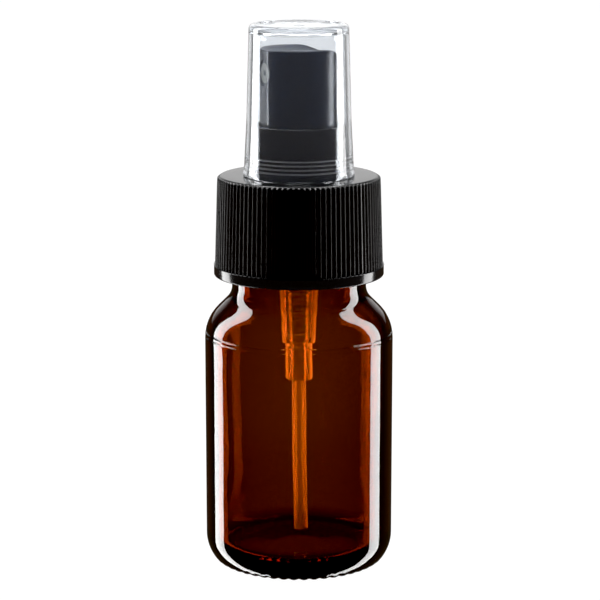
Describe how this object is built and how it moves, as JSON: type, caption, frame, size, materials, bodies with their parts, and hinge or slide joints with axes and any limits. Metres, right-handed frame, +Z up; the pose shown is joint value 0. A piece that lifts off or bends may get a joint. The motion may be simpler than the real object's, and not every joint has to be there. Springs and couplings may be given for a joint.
{
  "type": "fine mist spray bottle",
  "caption": "Small round amber glass bottle with a black ribbed screw collar, a push-button mist pump and a clear push-fit overcap.",
  "frame": {"origin": "centre of the bottle's base, on the surface it stands on", "axes": "+Z up along the bottle's axis; the camera side is -Y; the nozzle points mostly towards -X, 24 degrees towards -Y"},
  "size_m": [0.035, 0.035, 0.1009],
  "materials": {
    "amber_glass": "clear amber glass, smooth and glossy",
    "liner": "soft foam liner",
    "collar_black": "black polypropylene, satin",
    "turret_black": "black polypropylene, smooth",
    "button_black": "black polypropylene, smooth",
    "insert_grey": "grey acetal",
    "clear_cap": "clear polypropylene, slightly hazy",
    "white_plastic": "natural acetal",
    "piston_plastic": "natural polyethylene",
    "seal_rubber": "nitrile rubber",
    "spring_steel": "drawn stainless wire",
    "ball_steel": "polished stainless ball",
    "housing_plastic": "translucent natural polypropylene",
    "tube_plastic": "translucent polyethylene tube"
  },
  "bodies": {
    "bottle": {"bottle": "amber_glass"},
    "pump": {"pump_housing": "housing_plastic", "neck_gasket": "liner", "turret": "turret_black", "stem_plug": "white_plastic", "stem_seal": "seal_rubber", "dip_tube": "tube_plastic", "return_spring": "spring_steel"},
    "collar": {"screw_collar": "collar_black"},
    "overcap": {"overcap": "clear_cap"},
    "stem": {"stem": "white_plastic", "valve_pin": "white_plastic", "precompression_spring": "spring_steel"},
    "piston": {"piston": "piston_plastic"},
    "actuator": {"actuator": "button_black", "nozzle_insert": "insert_grey"},
    "inlet_ball": {"inlet_ball": "ball_steel"}
  },
  "joints": [
    {"name": "pump_rise", "type": "slide", "parent": "bottle", "child": "pump", "axis": [0, 0, 1], "range_m": [0, 0.004]},
    {"name": "collar_unscrew", "type": "hinge", "parent": "pump", "child": "collar", "pos_m": [0, 0, 0.064], "axis": [0, 0, 1], "range_deg": [0, 450]},
    {"name": "overcap_lift", "type": "slide", "parent": "pump", "child": "overcap", "axis": [0, 0, 1], "range_m": [0, 0.035]},
    {"name": "spray_stroke", "type": "slide", "parent": "pump", "child": "stem", "axis": [0, 0, -1], "range_m": [0, 0.0045], "stiffness_N_per_m": 600, "springref_m": -0.005, "deforming": ["return_spring"]},
    {"name": "outlet_valve_slip", "type": "slide", "parent": "stem", "child": "piston", "axis": [0, 0, 1], "range_m": [0, 0.0006], "stiffness_N_per_m": 2000, "springref_m": -0.0008, "deforming": ["precompression_spring"]},
    {"name": "actuator_swivel", "type": "hinge", "parent": "stem", "child": "actuator", "pos_m": [0, 0, 0.085], "axis": [0, 0, 1], "continuous": true},
    {"name": "inlet_ball_lift", "type": "slide", "parent": "pump", "child": "inlet_ball", "axis": [0, 0, 1], "range_m": [0, 0.0008]}
  ],
  "couplings": [
    {"joint": "pump_rise", "follows": "collar_unscrew", "m_per_rad": 0.00050611}
  ]
}
